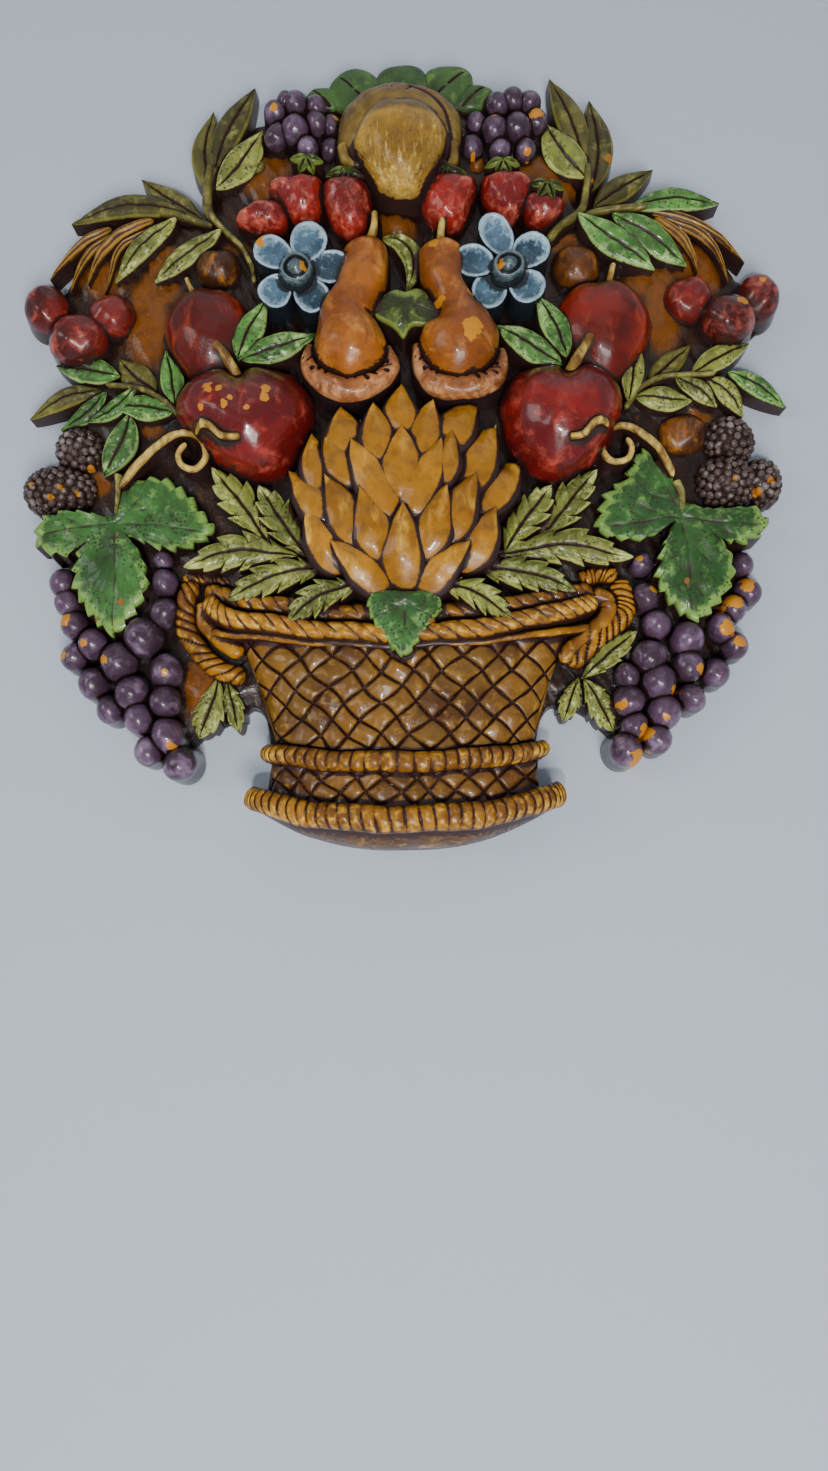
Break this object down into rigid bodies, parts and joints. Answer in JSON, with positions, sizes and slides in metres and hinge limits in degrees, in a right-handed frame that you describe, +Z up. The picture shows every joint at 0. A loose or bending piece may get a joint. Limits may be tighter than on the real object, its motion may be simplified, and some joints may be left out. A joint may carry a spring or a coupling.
{
  "type": "decorative wall plaque",
  "caption": "Moulded relief wall plaque of a woven basket heaped with fruit, flowers and leaves, painted, with a flat back and a hanging pocket.",
  "frame": {"origin": "on the flat back, on the centre line, just above the blind hanging pocket", "axes": "+Z up the plaque, +Y out of the back into the wall, the modelled face looks along -Y"},
  "size_m": [0.2741, 0.039, 0.289],
  "materials": {
    "painted_plaster": "hand-painted plaster with dark glaze wiped into the recesses, worn edges and satin-gloss varnish"
  },
  "bodies": {
    "root": {"plaque": "painted_plaster"}
  },
  "joints": []
}
